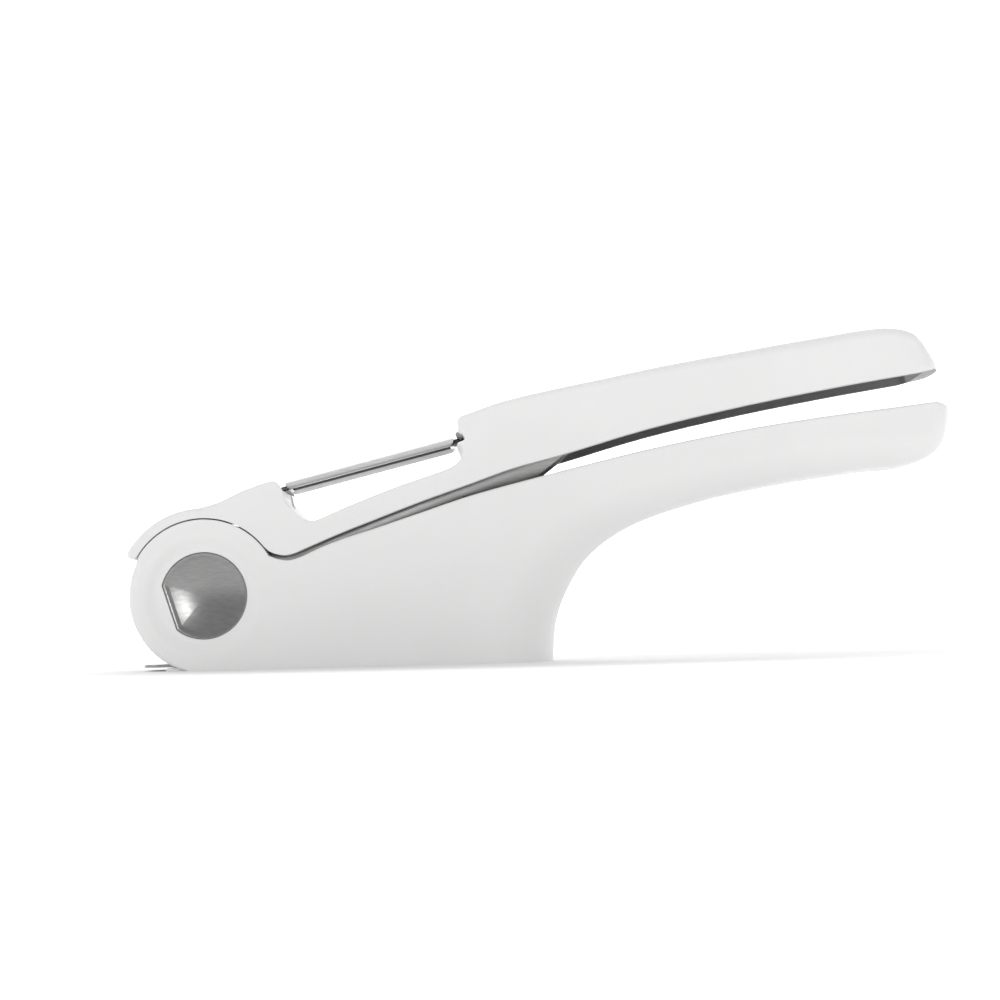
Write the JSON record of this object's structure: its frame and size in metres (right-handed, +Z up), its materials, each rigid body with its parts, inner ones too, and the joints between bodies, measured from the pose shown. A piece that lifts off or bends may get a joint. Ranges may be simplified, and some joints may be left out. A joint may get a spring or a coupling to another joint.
{
  "type": "garlic press",
  "caption": "Hand-held garlic press with a hinged lever, a perforated slide-out strainer and a swivel peeler blade across the lever's window.",
  "frame": {"origin": "centre of the object's box, on the plane that the base stands on", "axes": "+X from the hinge end to the handle end, +Y across the press, +Z up"},
  "size_m": [0.2004, 0.028, 0.0783],
  "materials": {
    "white_shell": "smooth satin",
    "white_insert": "plain moulded",
    "pressed_steel": "rolled sheet",
    "polished_steel": "polished",
    "blade_steel": "ground",
    "fastener_steel": "plain"
  },
  "bodies": {
    "press_body": {"body": "white_shell", "base_frame": "white_shell", "base_screw_left": "fastener_steel", "base_screw_right": "fastener_steel", "hopper": "pressed_steel", "axle_sleeve": "pressed_steel", "axle_plug_left": "polished_steel", "axle_plug_right": "polished_steel"},
    "strainer": {"sieve_plate": "pressed_steel"},
    "handle_lever": {"lever": "white_shell", "press_arm": "pressed_steel", "arm_screw_front": "fastener_steel", "arm_screw_rear": "fastener_steel", "pusher": "white_insert", "pusher_screw_front": "fastener_steel", "pusher_screw_rear": "fastener_steel", "thrust_washer_left": "white_insert", "thrust_washer_right": "white_insert", "peeler_pin_front": "blade_steel", "peeler_pin_rear": "blade_steel"},
    "swivel_blade": {"peeler_blade": "blade_steel"}
  },
  "joints": [
    {"name": "lever_hinge", "type": "hinge", "parent": "press_body", "child": "handle_lever", "pos_m": [-0.0818, 0, 0.0179], "axis": [0, -1, 0], "range_deg": [-1.8, 70]},
    {"name": "sieve_slide", "type": "slide", "parent": "press_body", "child": "strainer", "axis": [-1, 0, 0], "range_m": [0, 0.055]},
    {"name": "blade_swivel", "type": "hinge", "parent": "handle_lever", "child": "swivel_blade", "pos_m": [-0.0644, 0, 0.0438], "axis": [0.9725, 0, 0.2329], "range_deg": [-25, 25]}
  ]
}
